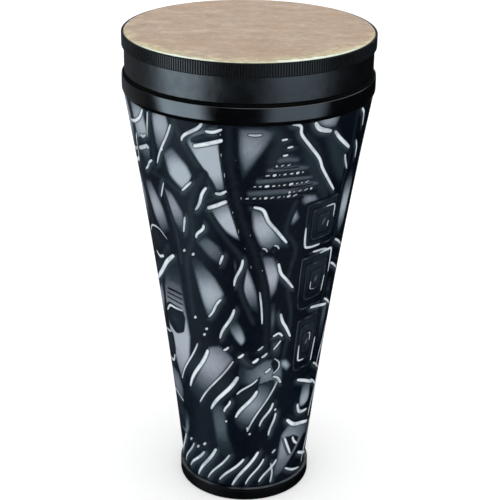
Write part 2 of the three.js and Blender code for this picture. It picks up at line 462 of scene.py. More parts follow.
def flowing(points, closed=False, bend=0.5):
    """A curve through the points: bend 0 keeps its corners, and 0.5 rounds them."""
    p = np.array(points, float)
    if closed:
        p = np.vstack([p[-1], p, p[:2]])
    elif len(p) == 2:
        return p
    else:
        p = np.vstack([2 * p[0] - p[1], p, 2 * p[-1] - p[-2]])
    t = np.linspace(0, 1, 7, endpoint=False)[:, None]
    spans = []
    for a, b, c, d in zip(p, p[1:], p[2:], p[3:]):
        leaving = bend * (c - a)
        arriving = bend * (d - b)
        rise = t**2 * (3 - 2 * t)
        spans.append(b + (c - b) * rise + leaving * t * (1 - t) ** 2 - arriving * t**2 * (1 - t))
    return np.vstack(spans + [p[-2:-1]])


def swayed(start, end, sway):
    """Points from start to end that sway to and fro by one sine wave, sway degrees high."""
    t = np.linspace(0, 1, 7)[:, None]
    line = np.array(start, float) * (1 - t) + np.array(end, float) * t
    line[:, 0] += sway * np.sin(2 * np.pi * t[:, 0])
    return line


def segments(line, here):
    """For each segment of a line: its run, and for every point its offset from the segment's start, its
    place along the segment from 0 to 1, and its distance from it."""
    for a, b in zip(line, line[1:]):
        along = b - a
        off = here - a
        t = np.clip(off @ along / (along @ along), 0, 1)
        yield along, off, t, np.hypot(off[:, 0] - t * along[0], off[:, 1] - t * along[1])


class Print:
    """The print's tone, and the distance in mm to its glints and its inked lines, at points given by their
    angle round the drum in degrees and their height in mm. Every motif takes its points the same way, and
    its widths in mm."""

    FAR = 12.0  # the distance held where nothing is near

    def __init__(self, angle, height):
        self.angle = angle
        self.height = height
        self.tone = np.zeros(angle.shape)
        self.glint = np.full(angle.shape, self.FAR)
        self.ink = np.full(angle.shape, self.FAR)

    def near(self, line, margin):
        """The points near a line: their places, their x and y in mm from its middle, and the line in mm."""
        line = np.array(line, float)
        middle = (line.min(0) + line.max(0)) / 2
        scale = np.array([mm_per_degree(middle[1]), 1])
        half = (line.max(0) - line.min(0)) / 2 * scale + margin
        x = from_middle(self.angle, middle[0]) * scale[0]
        y = self.height - middle[1]
        near = np.flatnonzero((np.abs(x) < half[0]) & (np.abs(y) < half[1]))
        return near, np.column_stack([x[near], y[near]]), (line - middle) * scale

    def stroke(self, line, width, head, tail):
        """The points near a stroke, how far each is outside it, and its place across it. head and tail say
        how slowly each end swells from a point: at 0 that end keeps the full width."""
        near, here, line = self.near(line, width / 2 + 16)
        gap = np.full(len(near), np.inf)
        across = np.zeros(len(near))
        run = np.concatenate([[0], np.cumsum(np.linalg.norm(np.diff(line, axis=0), axis=1))])
        peak = (head / (head + tail)) ** head * (tail / (head + tail)) ** tail if head + tail > 0 else 1
        for start, (along, off, t, away) in zip(run, segments(line, here)):
            s = (start + t * np.sqrt(along @ along)) / run[-1]
            radius = width / 2 * s**head * (1 - s) ** tail / peak
            closer = away - radius < gap
            gap[closer] = (away - radius)[closer]
            side = np.sign(along[0] * off[:, 1] - along[1] * off[:, 0])
            across[closer] = (side * away)[closer]
        return near, gap, across

    def pane(self, outline, tone, spot, reach, edge=5.0, soft=0.7, bend=0.2):
        """A crisp closed shape, brightest at a spot and airbrushed to black within reach mm of it."""
        near, here, line = self.near(flowing(outline, True, bend), 3)
        gap = np.full(len(near), np.inf)
        inside = np.zeros(len(near), bool)
        for along, off, _, away in segments(line, here):
            gap = np.minimum(gap, away)
            if along[1]:
                crosses = (off[:, 1] < 0) != (off[:, 1] < along[1])
                inside ^= crosses & (off[:, 0] < off[:, 1] * along[0] / along[1])
        gap[inside] *= -1
        turn = from_middle(self.angle[near], spot[0])
        away = np.hypot(turn * mm_per_degree(spot[1]), self.height[near] - spot[1])
        level = tone * (0.55 + 0.45 * smooth_step(0, edge, -gap)) * (1 - smooth_step(0, 1, away / reach))
        cover = smooth_step(soft, -soft, gap)
        self.tone[near] += (level - self.tone[near]) * cover

    def glow(self, points, width, tone, soft=9.0, head=0.4, tail=0.4):
        """A soft light stroke."""
        near, gap, _ = self.stroke(flowing(points), width, head, tail)
        self.tone[near] = np.maximum(self.tone[near], tone * smooth_step(soft / 2, -soft, gap))

    def tube(self, points, width, sheen, soft=1.2, head=0.0, tail=0.0):
        """A dark band with crisp edges and a faint sheen to one side of its middle."""
        near, gap, across = self.stroke(flowing(points), width, head, tail)
        level = sheen * np.exp(-(((across - 0.12 * width) / (0.24 * width)) ** 2))
        cover = smooth_step(soft, -soft, gap)
        self.tone[near] += (level - self.tone[near]) * cover

    def shine(self, points, width, head=0.18, tail=0.24, halo=0.30, bend=0.5):
        """A white glint with a dark rim, and a grey halo beside it."""
        near, gap, across = self.stroke(flowing(points, bend=bend), width, head, tail)
        self.glint[near] = np.minimum(self.glint[near], gap)
        side = smooth_step(-2, 3, -across)
        self.tone[near] = np.maximum(self.tone[near], halo * side * smooth_step(9, 1, gap))

    def rule(self, points, width, bend=0.5):
        """A crisp inked line."""
        near, gap, _ = self.stroke(flowing(points, bend=bend), width, 0, 0)
        self.ink[near] = np.minimum(self.ink[near], gap)


def crossed_bands(p):
    """Upper left: bright panes between crossing dark bands, with glints along the bands."""
    p.pane([(-47, 590), (-38, 600), (-37, 578), (-42, 546), (-47, 540), (-48, 566)], 0.80, (-42, 578), 70)
    p.pane([(-43, 538), (-37, 550), (-29, 528), (-26, 504), (-32, 489), (-41, 508)], 1.0, (-34, 514), 58)
    p.pane(
        [(-30, 556), (-24, 580), (-11, 592), (-10, 548), (-11, 502), (-17, 500), (-24, 524)],
        1.05, (-17, 540), 78,
    )
    p.pane([(-48, 488), (-41, 482), (-35, 458), (-34, 430), (-38, 426), (-45, 452)], 0.70, (-41, 464), 56)
    p.pane(
        [(-22, 474), (-14, 486), (-9, 482), (-4, 452), (-1, 426), (-8, 434), (-16, 452)],
        1.0, (-8, 452), 60,
    )
    p.pane([(-28, 418), (-22, 430), (-15, 418), (-11, 400), (-13, 388), (-20, 396)], 0.46, (-20, 412), 44)
    p.pane(
        [(-33, 390), (-27, 392), (-18, 368), (-13, 344), (-19, 318), (-24, 302), (-28, 330)],
        0.84, (-22, 340), 70,
    )
    p.pane([(-7, 398), (-3, 404), (2, 380), (7, 344), (8, 316), (2, 326), (-5, 358)], 0.78, (-1, 366), 70)
    p.pane(
        [(-12, 298), (-8, 310), (-3, 296), (0, 274), (-3, 264), (-8, 278)],
        0.78, (-3, 272), 46, 4, 1.5, 0.4,
    )
    p.pane([(-66, 596), (-55, 600), (-53, 560), (-54, 510), (-61, 508), (-66, 540)], 0.88, (-58, 566), 72)
    p.pane([(-66, 480), (-58, 486), (-50, 456), (-47, 424), (-54, 412), (-61, 436)], 0.80, (-57, 452), 58)
    p.pane([(-84, 596), (-73, 600), (-70, 560), (-72, 512), (-80, 520), (-85, 556)], 0.80, (-77, 570), 72)
    p.pane([(-84, 486), (-76, 490), (-70, 456), (-70, 420), (-77, 410), (-84, 440)], 0.68, (-77, 460), 62)
    upper = [(-36, 604), (-33, 572), (-27, 540), (-18, 500), (-21, 470)]
    lower = [(-12, 430), (-3, 396), (-4, 350), (4, 300)]
    p.tube(upper + lower, 15, 0.14)
    p.tube([(-22, 520), (-28, 492), (-31, 462), (-31, 424), (-37, 380), (-36, 300)], 17, 0.10)
    p.tube([(-52, 604), (-50, 556), (-52, 516), (-47, 470), (-42, 420), (-41, 380)], 12, 0.12)
    p.tube([(-70, 604), (-68, 556), (-70, 500), (-67, 440), (-66, 400)], 12, 0.12)
    p.tube([(-66, 505), (-53, 500), (-44, 496), (-33, 484)], 12, 0.12)
    glints = (
        (-49, 518, -36, 582, 3.4, -0.4), (-54, 552, -50, 590, 2.8, 0), (-31, 562, -20, 594, 4.6, -1.4),
        (-27, 466, -20, 502, 4.4, 0.5), (-36, 428, -34, 452, 3.4, 0), (-28, 424, -23, 446, 4.2, -0.8),
        (-15, 390, -13, 404, 3.6, 0), (-7, 358, -2, 400, 4.0, -0.6), (-24, 304, -15, 336, 3.6, 0.5),
        (-17, 272, -7, 322, 4.4, -0.7), (-34, 490, -28, 506, 3.4, 0), (-62, 500, -53, 520, 3.8, 0.6),
        (-46, 494, -50, 470, 2.6, 0), (-72, 500, -66, 548, 3.6, 0.6), (-88, 492, -76, 520, 4.6, 0.8),
    )
    for a, z, b, top, width, sway in glints:
        p.shine(swayed((a, z), (b, top), sway), width, 0.27, 0.18)
    for a, z, wide in ((-25, 562, 14), (-20, 476, 10), (-66, 530, 11), (-80, 500, 10)):
        p.tube([(a - 1, z + 3), (a + wide / 2, z + 11), (a + wide + 1, z + 17)], 13, 0.16, 1.2, 0.3, 0.1)
        p.shine([(a, z - 4), (a + wide / 2, z + 2), (a + wide, z + 9)], 5.6, 0.09, 0.09)
        p.shine([(a + 0.45 * wide, z + 19), (a + 0.7 * wide, z + 19), (a + wide, z + 24)], 4.4, 0.18, 0.3)
    p.shine([(-73, 560), (-65, 565), (-58, 576), (-54, 590)], 5.0, 0.2, 0.2)
    for a, z in ((-37, 398), (-31, 396), (-34, 296), (-28, 272), (-26, 282), (-44, 540), (-55, 534)):
        p.shine([(a - 0.8, z), (a + 0.8, z + 4)], 3.4, 0.06, 0.06, 0.0)


def long_band(p):
    """Centre: panes either side of one long dark band that bends down from the collar."""
    p.pane([(-4, 588), (6, 590), (13, 584), (5, 548), (-2, 518), (-4, 550)], 0.66, (1, 562), 66, 8, 2.0)
    p.pane([(2, 476), (8, 470), (14, 446), (21, 418), (14, 410), (7, 420), (3, 446)], 0.86, (8, 446), 58)
    p.pane([(8, 404), (15, 402), (19, 376), (18, 350), (14, 334), (11, 362)], 0.84, (15, 372), 60)
    p.pane([(15, 326), (18, 330), (19, 300), (18, 266), (15, 270)], 0.40, (17, 306), 40)
    p.pane([(20, 470), (25, 472), (28, 456), (24, 446), (19, 458)], 0.80, (23, 463), 28)
    p.pane([(28, 490), (36, 486), (40, 474), (33, 470), (28, 478)], 0.62, (33, 482), 30)
    path = [(-9, 606), (-9, 550), (-6, 490), (-1, 440), (5, 396), (10, 350), (12, 300), (13, 236)]
    p.tube(path, 19, 0.07)
    p.rule([(a - 3.6, z) for a, z in path], 1.0)
    p.shine([(8, 350), (9.6, 322), (10.4, 298)], 2.6, 0.18, 0.18, 0.0)
    p.glow([(a - 3.2, z) for a, z in path[:4]], 0.8, 0.34, 1.6, 0, 0)
    for step in range(8):
        z = 580 - 27 * step
        a = np.interp(z, [n[1] for n in path[::-1]], [n[0] for n in path[::-1]])
        p.shine([(a - 2.9, z), (a - 2.9, z - 3 - 2 * (step % 3))], 1.1, 0.06, 0.06, 0.0)
        if step % 2:
            p.shine([(a + 3.4, z - 7), (a + 3.5, z - 10)], 1.0, 0.06, 0.06, 0.0)
    p.tube([(24, 480), (20, 440), (27, 410), (24, 360), (29, 300), (26, 230)], 13, 0.13)
    p.shine([(3, 478), (8, 473), (11, 456), (16, 440), (22, 421)], 4.8, 0.15, 0.18)
    p.shine([(18, 392), (20, 376), (24, 364), (29, 349)], 4.4)
    p.shine([(22, 312), (24, 298), (27, 287), (31, 270)], 4.4)
    for a, z in ((8.5, 410), (15, 413)):
        p.pane([(a - 2.6, z), (a, z + 7), (a + 2.6, z), (a, z - 7)], 0.05, (a, z), 20)
        p.shine([(a - 0.4, z + 7), (a + 1.7, z + 5), (a + 2.8, z)], 2.6, 0.24, 0.3, 0.0)
        p.glow([(a - 1, z - 3), (a + 0.5, z - 2)], 4, 0.3, 3)
    p.shine([(0, 580), (3, 579), (6, 580)], 3.0, 0.18, 0.18)


def stepped_rows(p):
    """Upper right of centre: uneven rows of dashes on grey bars, wider further down, under some dots."""
    for a, z in ((16, 571), (19, 560), (17, 549)):
        p.shine([(a - 1.4, z), (a + 1.6, z + 1)], 3.0, 0.18, 0.24, 0.25)
    rows = ((13, 22, 536), (8, 28, 523), (3, 31, 508), (-1, 27, 491), (20, 35, 497))
    for row, (start, end, z) in enumerate(rows):
        p.glow([(start + 1, z + 6), ((start + end) / 2, z + 8), (end + 2, z + 5)], 12, 0.36, 5, 0.1, 0.2)
        p.rule([(start - 1, z - 4), (end + 2, z - 5)], 2.2)
        p.rule([(start, z + 4), (end + 1, z + 3)], 1.2)
        a = start
        for dash in range(12):
            size = 0.8 + 1.5 * abs(np.sin(2.3 * dash + 1.7 * row))
            if a + size > end:
                break
            width = 3.4 if dash % 4 == row % 4 else 2.0
            p.shine([(a, z - 1), (a + size, z + 0.04 * (a - start))], width, 0.12, 0.18, 0.1)
            a += size + 1.2


def falling_glints(p):
    """Top right: a long crooked glint falling from the collar, with shorter ones beside it."""
    p.glow([(26, 574), (33, 530), (44, 474)], 30, 0.15, 12)
    p.glow([(38, 580), (46, 540), (55, 494)], 30, 0.19, 12)
    p.glow([(10, 590), (14, 566), (10, 530)], 24, 0.15, 12)
    p.pane([(29, 600), (38, 602), (44, 592), (42, 578), (36, 580), (31, 588)], 0.72, (37, 592), 42)
    p.shine(
        [(19, 592), (23, 588), (24, 576), (29, 558), (35, 538), (38, 522), (44, 500), (49, 484)],
        4.4, 0.12, 0.12,
    )
    p.shine([(30, 590), (33, 580), (40, 573)], 6.5)
    p.shine([(42, 572), (47, 558), (56, 539)], 5.4, 0.18, 0.18)
    p.shine([(53, 532), (55, 520), (58, 507)], 4.0)
    p.shine([(61, 590), (65, 580), (67, 560)], 4.6)
    p.shine([(62, 545), (65, 532), (66, 516)], 3.6)


def square(a, z, wide, tall):
    """Corners and mid-sides of an upright, slightly skewed square, clockwise from its top left."""
    lean = 0.06 * wide
    x = wide / 2
    y = tall / 2
    upper = [(-x - lean, y), (0, y + 2), (x, y), (x + lean, 0)]
    lower = [(x, -y), (0, -y - 2), (-x, -y), (-x - lean, 0)]
    return [(a + turn, z + up) for turn, up in upper + lower]


def nested_squares(p):
    """Right: a column of tall squares, nested three deep, each outlined in grey and lit along one part."""
    for place, (a, z, wide, tall) in enumerate(((45, 440, 22, 62), (46, 352, 23, 76), (46, 252, 18, 78))):
        p.pane(square(a, z, wide + 3, tall + 8), 0.17, (a + 2, z + tall / 5), 50, 6, 2)
        for ring in range(3):
            size = 1 - 0.34 * ring
            loop = square(a, z, wide * size, tall * size)
            outline = square(a, z, wide * size + 1.6, tall * size + 6)
            p.rule(outline + outline[:2], 1.6, 0.15)
            p.glow(loop + loop[:1], 1.2, 0.80 - 0.08 * ring, 2.2, 0, 0)
            first, count = ((5, 3), (1, 3), (3, 2))[(place + ring) % 3]
            p.shine((loop + loop)[first:first + count], 3.4 - 0.8 * ring, 0.2, 0.3, 0.1, 0.3)
        p.glow([(a - 1, z - 4), (a + 1, z + 6)], 8, 0.45, 5)
    p.shine([(45, 308), (54, 304), (66, 296)], 4.6, 0.15, 0.2)
    p.shine([(40, 398), (49, 396), (55, 390)], 3.2, 0.15, 0.2)


def right_edge(p):
    """Far right: tall panes, the lower ones edged by leaning glints, and short cross strokes."""
    p.pane([(59, 486), (65, 506), (70, 480), (69, 420), (62, 400), (59, 436)], 0.86, (64, 452), 60)
    p.pane([(61, 334), (67, 338), (69, 280), (67, 204), (62, 212), (60, 270)], 0.36, (64, 290), 74)
    p.pane([(77, 586), (86, 560), (88, 500), (82, 450), (76, 500)], 0.70, (81, 520), 74)
    p.pane([(76, 400), (86, 392), (88, 330), (82, 280), (76, 330)], 0.6, (81, 350), 66)
    p.tube([(56, 604), (58, 540), (56, 480), (58, 400), (57, 330), (58, 240)], 9, 0.12)
    for z in (226, 142, 62):
        p.pane(
            [(73, z + 28), (81, z + 37), (88, z + 8), (86, z - 32), (78, z - 35), (72, z - 4)],
            0.66, (80, z + 4), 64,
        )
        p.shine(swayed((68, z - 34), (77, z + 34), -1.0), 4.6, 0.25, 0.15)
        p.shine(swayed((84, z - 36), (93, z + 26), -1.0), 3.2, 0.15, 0.2)
    for z in (392, 356, 300, 196, 168):
        p.shine([(60, z + 10), (66, z + 2), (75, z - 12)], 3.6)
        p.tube([(60, z + 18), (67, z + 10), (76, z - 3)], 7, 0.1)


def leaf_field(p):
    """Left: a tall pale field holding dark leaf and bowl shapes and ruled lines, under a ringed disc."""
    right = [(-50, 392), (-43, 384), (-42, 320), (-40, 262), (-44, 216)]
    left = [(-54, 176), (-60, 196), (-66, 250), (-64, 320), (-56, 364)]
    p.pane(right + left, 0.92, (-51, 250), 150)
    for z, start, width in ((344, -55, 1.4), (327, -58, 3.4), (319, -60, 2.6), (311, -61, 2.6)):
        p.rule([(start, z - 2), (-51, z), (-44, z)], width)
    p.glow([(-56, 335), (-45, 336)], 10, 0.4, 3, 0.05, 0.05)
    p.pane(
        [(-68, 286), (-60, 302), (-46, 303), (-43, 290), (-46, 266), (-55, 256), (-64, 264)],
        0.12, (-54, 278), 40,
    )
    p.glow([(-58, 276), (-52, 280)], 8, 0.3, 6)
    p.shine([(-65, 284), (-59, 297), (-52, 299), (-44, 301)], 3.8, 0.18, 0.18, 0.0)
    p.pane([(-84, 240), (-72, 250), (-61, 250), (-60, 226), (-64, 204), (-76, 200)], 0.14, (-70, 232), 40)
    p.shine([(-86, 236), (-76, 244), (-64, 250)], 3.4, 0.18, 0.18, 0.0)
    p.shine([(-78, 196), (-68, 200), (-63, 214)], 4.0, 0.18, 0.18, 0.1)
    p.pane([(-86, 176), (-74, 188), (-60, 186), (-56, 160), (-60, 130), (-76, 140)], 0.62, (-68, 164), 50)
    p.pane([(-80, 128), (-68, 136), (-58, 130), (-58, 106), (-62, 92), (-74, 100)], 0.16, (-66, 118), 34)
    p.shine([(-82, 140), (-70, 146), (-58, 140)], 3.6, 0.18, 0.18, 0.0)
    p.pane(
        [(-88, 96), (-74, 90), (-60, 80), (-54, 96), (-52, 120), (-57, 130), (-62, 90)],
        0.6, (-62, 90), 50,
    )
    p.pane([(-74, 400), (-66, 414), (-55, 412), (-50, 400), (-55, 386), (-66, 378)], 0.08, (-62, 398), 30)
    p.shine([(-74, 398), (-68, 412), (-58, 416), (-50, 406)], 2.8, 0.18, 0.24, 0.0)
    p.shine([(-68, 374), (-63, 370), (-57, 376)], 4.4, 0.18, 0.18, 0.0)
    p.tube([(-92, 322), (-76, 336), (-62, 360), (-49, 396)], 22, 0.14, 1.4, 0.2, 0.1)
    p.shine([(-90, 312), (-76, 326), (-64, 346), (-54, 370), (-46, 386)], 7.0, 0.24, 0.18)
    p.pane([(-90, 306), (-76, 312), (-66, 330), (-68, 300), (-74, 268), (-88, 262)], 0.72, (-76, 296), 60)


def waves(p):
    """Middle tier: pairs of long glints that lean right, each pair edging a dark roll, on lit grounds."""
    p.pane(
        [(-46, 172), (-36, 208), (-26, 254), (-17, 260), (-8, 240), (-22, 196), (-37, 154)],
        0.78, (-25, 228), 84,
    )
    p.pane(
        [(-9, 204), (-4, 232), (4, 226), (14, 240), (26, 234), (28, 200), (20, 190), (4, 196)],
        0.60, (16, 214), 60,
    )
    p.pane([(-8, 138), (0, 168), (9, 198), (22, 204), (18, 170), (8, 136), (-2, 118)], 0.70, (5, 166), 60)
    p.pane(
        [(-27, 158), (-21, 168), (-15, 158), (-13, 110), (-8, 78), (-17, 60), (-24, 96)],
        0.40, (-20, 128), 74,
    )
    pairs = (
        ((-56, 180), (-34, 256), (-46, 176), (-26, 250), 5.6),
        ((-37, 156), (-8, 238), (-27, 150), (-5, 212), 5.8),
        ((-6, 182), (9, 208), (-7, 142), (9, 188), 5.4),
        ((2, 118), (24, 200), (12, 126), (22, 164), 3.8),
    )
    for foot, head, near_foot, near_head, width in pairs:
        far = swayed(foot, head, -0.8)
        near = swayed(near_foot, near_head, -1.0)
        tip = [(head[0] + near_head[0]) / 2 + 2, max(head[1], near_head[1]) + 3]
        roll = np.vstack([far, tip, near[::-1]])
        p.pane(roll, 0.13, tuple(roll.mean(0)), 40, 5, 1.2, 0.4)
        p.shine(far, 2.8, 0.15, 0.15, 0.1)
        p.shine(near, width, 0.25, 0.15, 0.2)
    p.shine(swayed((20, 108), (25, 146), -0.5), 3.6, 0.2, 0.15)
    p.shine(swayed((-16, 150), (-11, 170), -0.5), 3.6, 0.2, 0.15)
    for a, z in ((4, 112), (24, 150), (-15, 132), (2, 122)):
        p.shine([(a, z), (a + 0.6, z + 4)], 3.2, 0.1, 0.1, 0.0)


def knots(p):
    """Between the long band and the waves: small dark lobes, looped hooks and beads."""
    p.glow([(-4, 250), (0, 236), (6, 228)], 14, 0.3, 8)
    beads = ((-3, 246, 4.0), (7, 238, 4.6), (13, 246, 3.6), (10, 258, 3.0), (-13, 256, 3.4), (16, 220, 4.0))
    for a, z, width in beads:
        p.shine([(a - 1.6, z - 2), (a, z), (a + 1.8, z + 4)], width, 0.12, 0.18, 0.15)
    p.pane([(17, 268), (24, 270), (24, 242), (18, 240)], 0.34, (21, 258), 26)
    p.shine([(19, 254), (22, 262), (24, 268)], 2.6, 0.18, 0.18, 0.0)
    p.shine([(18, 276), (22, 280), (25, 274)], 3.6, 0.18, 0.18)
    p.pane([(18, 232), (21, 240), (24, 228), (21, 216)], 0.05, (21, 228), 20)
    p.shine([(20, 240), (24, 232), (24, 222), (20, 214)], 2.4, 0.18, 0.18, 0.0)
    p.pane([(24, 236), (30, 234), (34, 222), (31, 214), (26, 224)], 0.8, (29, 226), 26)
    p.shine([(20, 210), (24, 206), (27, 196)], 4.0, 0.24, 0.24)


def foot_waves(p):
    """Bottom tier: a row of swaying glints leaning the same way, over faint lights."""
    for step, a in enumerate(np.arange(-84, 20, 12.2)):
        low = 21 + 3 * (step % 3)
        top = (82, 76, 70)[step % 3] - 8 * (a > 0)
        lean = 23 if a < -10 else 16
        p.glow([(a + 6, low + 6), (a + lean + 3, top - 4)], 13, 0.15, 7)
        p.shine(swayed((a, low), (a + lean, top), -0.9), (4.8, 3.3, 4.1)[step % 3], 0.25, 0.15, 0.3)
    p.shine([(25, 22), (26, 40), (24, 58)], 3.0)
    for a, z in ((-44, 74), (-36, 84), (-53, 80), (26, 78)):
        p.shine([(a - 1.4, z - 3), (a + 1.6, z + 3)], 3.4, 0.18, 0.18, 0.1)


def corner_fan(p):
    """Lower right: a pale wedge holding a dark fan, with bowl-shaped glints above it."""
    outer = [(26, 26), (30, 66), (32, 104), (42, 122), (60, 112), (78, 104)]
    inner = [(80, 76), (62, 80), (50, 60), (36, 34)]
    p.pane(outer + inner, 0.70, (37, 84), 96)
    p.pane([(35, 96), (46, 94), (54, 84), (50, 70), (44, 60), (39, 74)], 0.06, (44, 80), 30)
    p.shine([(36, 96), (40, 80), (45, 62)], 4.2, 0.18, 0.18, 0.0)
    p.shine([(45, 92), (48, 82), (53, 74)], 4.2, 0.18, 0.18, 0.0)
    p.rule([(33, 98), (37, 78), (42, 60)], 1.6)
    p.pane(
        [(50, 186), (58, 186), (62, 160), (62, 144), (55, 138), (48, 146)],
        0.80, (55, 148), 50, 4, 1.5, 0.5,
    )
    p.tube([(36, 134), (46, 122), (58, 114), (70, 108)], 11, 0.1, 1.2, 0.2, 0.2)
    p.shine([(36, 128), (44, 115), (56, 108), (68, 100)], 6.4)
    p.shine([(46, 148), (50, 132), (62, 126)], 5.4)
    p.shine([(42, 192), (52, 183), (64, 170)], 5.0)
    p.shine([(56, 56), (66, 46), (80, 34)], 5.0)
    p.shine([(40, 40), (50, 30), (64, 22)], 4.0)


def draw_print(p):
    """All the motifs. Later ones lie over earlier ones, so the order matters."""
    crossed_bands(p)
    leaf_field(p)
    long_band(p)
    stepped_rows(p)
    falling_glints(p)
    nested_squares(p)
    right_edge(p)
    waves(p)
    knots(p)
    corner_fan(p)
    foot_waves(p)


# ---------------------------------------------------------------- pieces


def foot_ring(material):
    """Rubber channel with rounded edges, a soft groove under its top lip and two grooves in its sole."""
    inside = FOOT_IN
    channel = wrap_radius
    inner_wall = channel(FOOT_SOLE) - FOOT_WALL
    inner_lip = channel(FOOT_INNER_TOP) - FOOT_WALL
    middle = (inside + FOOT_OUT) / 2
    profile = [(inside + 1, FLOOR)]
    for groove in (middle - 4, middle + 2):
        profile += [(groove - 1.2, FLOOR), (groove - 0.8, 0.9), (groove + 0.8, 0.9), (groove + 1.2, FLOOR)]
    profile += arc(FOOT_OUT - 2.5, 2.5, 2.5, -90, 0)
    profile += [(FOOT_OUT, FOOT_TOP - 4.6), (FOOT_OUT - 0.5, FOOT_TOP - 4.0), (FOOT_OUT, FOOT_TOP - 3.4)]
    profile += arc(FOOT_OUT - 1.1, FOOT_TOP - 1.1, 1.1, 0, 90, 5)
    profile += [(channel(FOOT_TOP) + 0.9, FOOT_TOP), (channel(FOOT_TOP) + GAP, FOOT_TOP - 0.6)]
    profile += [(channel(FOOT_SOLE) + GAP, FOOT_SOLE), (inner_wall, FOOT_SOLE), (inner_lip, FOOT_INNER_TOP)]
    profile += arc(inner_lip - 2, FOOT_INNER_TOP - 1, 1.0, 90, 180, 4)
    profile += [(inside, 1)]
    return turned("foot_ring_rubber", profile, material, "shell", "foot_ring")


def shell_core(material):
    """The fibre tube, open at both ends, with eased edges."""
    heights = np.linspace(CORE_LOW, WRAP_HIGH, 40)
    outside = [(wrap_radius(z) - 1.0, z) for z in heights]
    inside = [(r - CORE_WALL, z) for r, z in outside[::-1]]
    neck = [(CORE_OUT, CORE_TOP - 0.8), (CORE_OUT - 0.8, CORE_TOP)]
    neck += [(CORE_OUT - CORE_WALL + 0.8, CORE_TOP), (CORE_OUT - CORE_WALL, CORE_TOP - 0.8)]
    profile = outside + neck + inside
    return turned("shell_core_tube", profile, material, "shell", "shell_core")


def collar_ring(material):
    """Glossy channel over the shell's top edge: crisp lip, soft shoulder, bevelled skirt, and the mouth."""
    skirt = CORE_OUT + GAP
    roof = COLLAR_TOP - COLLAR_ROOF
    mouth_back = MOUTH + MOUTH_WALL
    profile = [(skirt, COLLAR_LOW), (COLLAR_OUT - 2.2, COLLAR_LOW)]
    profile += arc(COLLAR_OUT - 1.9, COLLAR_LOW + 0.5, 0.5, -90, -30, 3)
    profile += [(COLLAR_OUT - 0.15, COLLAR_LOW + 4.2), (COLLAR_OUT, COLLAR_LOW + 5.2)]
    profile += [(COLLAR_OUT, COLLAR_TOP - 4), (COLLAR_OUT - 0.12, COLLAR_TOP - 2.4)]
    profile += arc(COLLAR_OUT - 1.2, COLLAR_TOP - 1.0, 0.95, 0, 90, 6)
    profile += [(MOUTH + 1.6, COLLAR_TOP - 0.05)]
    profile += arc(MOUTH + 1.5, COLLAR_TOP - 1.5, 1.5, 90, 180, 5)
    profile += [(MOUTH, MOUTH_LOW + 0.5), (MOUTH + 0.5, MOUTH_LOW), (mouth_back - 0.5, MOUTH_LOW)]
    profile += [(mouth_back, MOUTH_LOW + 0.5), (mouth_back, roof), (skirt, roof)]
    return turned("collar_ring_gloss", profile, material, "shell", "collar_ring")


def seat_gasket(material):
    """Soft gasket, its outer face sloping from the collar's lip in to the head."""
    top = GASKET_TOP
    inner = GASKET_IN
    crest = FACING_OUT - 0.8
    profile = [(inner + 0.4, GASKET_LOW), (GASKET_OUT - 0.5, GASKET_LOW)]
    profile += [(GASKET_OUT - 0.1, GASKET_LOW + 0.4)]
    profile += [(crest + 0.7, top - 1.2), (crest + 0.2, top - 0.3), (crest - 0.4, top)]
    profile += [(inner + 0.4, top), (inner, top - 0.4), (inner, GASKET_LOW + 0.4)]
    return turned("seat_gasket_rubber", profile, material, "shell", "seat_gasket")


def grip_pad(index, material):
    """A curved rubber pad with rounded ends and ridges across the way the sleeve slides."""
    low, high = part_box(f"grip_pad_{index}")
    centre = (low + high) / 2
    middle = math.atan2(centre.x, -centre.y)
    half = math.radians(PAD_HALF_ANGLE)
    back = MOUTH - GAP
    front = SLEEVE_OUT + GAP
    foot = low.z / MM
    top = high.z / MM
    rows = np.linspace(foot, top, PAD_RIDGES * 6 + 1)
    columns = np.linspace(-half, half, 33)
    turn, height = np.meshgrid(middle + columns, rows)
    ridged = front + 0.18 - 0.18 * np.cos((height - foot) / (top - foot) * 2 * np.pi * PAD_RIDGES)
    side_round = np.clip((half - np.abs(columns)) / math.radians(0.6), 0, 1) ** 0.5
    end_round = np.clip(np.minimum(height - foot, top - height) / 0.8, 0, 1) ** 0.5
    face = back + (ridged - back) * (0.35 + 0.65 * side_round) * (0.4 + 0.6 * end_round)
    layers = [(radius * np.sin(turn), -radius * np.cos(turn), height) for radius in (back, face)]
    points = np.moveaxis(layers, 1, -1).reshape(-1, 3)

    layer = height.size
    grid = np.arange(layer).reshape(height.shape)
    quads = np.stack([grid[:-1, :-1], grid[:-1, 1:], grid[1:, 1:], grid[1:, :-1]], -1).reshape(-1, 4)
    edge = np.concatenate([grid[0], grid[1:, -1], grid[-1, -2::-1], grid[-2:0:-1, 0]])
    after = np.roll(edge, -1)
    sides = np.column_stack([after, edge, edge + layer, after + layer])
    faces = np.vstack([quads, quads[:, [0, 3, 2, 1]] + layer, sides]).tolist()
    name = f"grip_pad_{index}_rubber"
    return make_mesh(name, points, faces, material, "shell", [f"grip_pad_{index}"])


def rim_hoop(material):
    """Pressed fibre hoop, its bearing edge rounded under the film."""
    bend = HOOP_TOP - (FILM_TOP - FILM_BEND)
    profile = [(HOOP_IN + 0.5, HOOP_LOW), (HOOP_OUT - 0.5, HOOP_LOW), (HOOP_OUT, HOOP_LOW + 0.5)]
    profile += arc(HOOP_OUT - bend, HOOP_TOP - bend, bend, 0, 90)
    profile += arc(HOOP_IN + 1.5, HOOP_TOP - 2, 1.5, 90, 180, 5)
    profile += [(HOOP_IN, HOOP_LOW + 0.5)]
    return turned("rim_hoop_fibre", profile, material, "head", "rim_hoop")


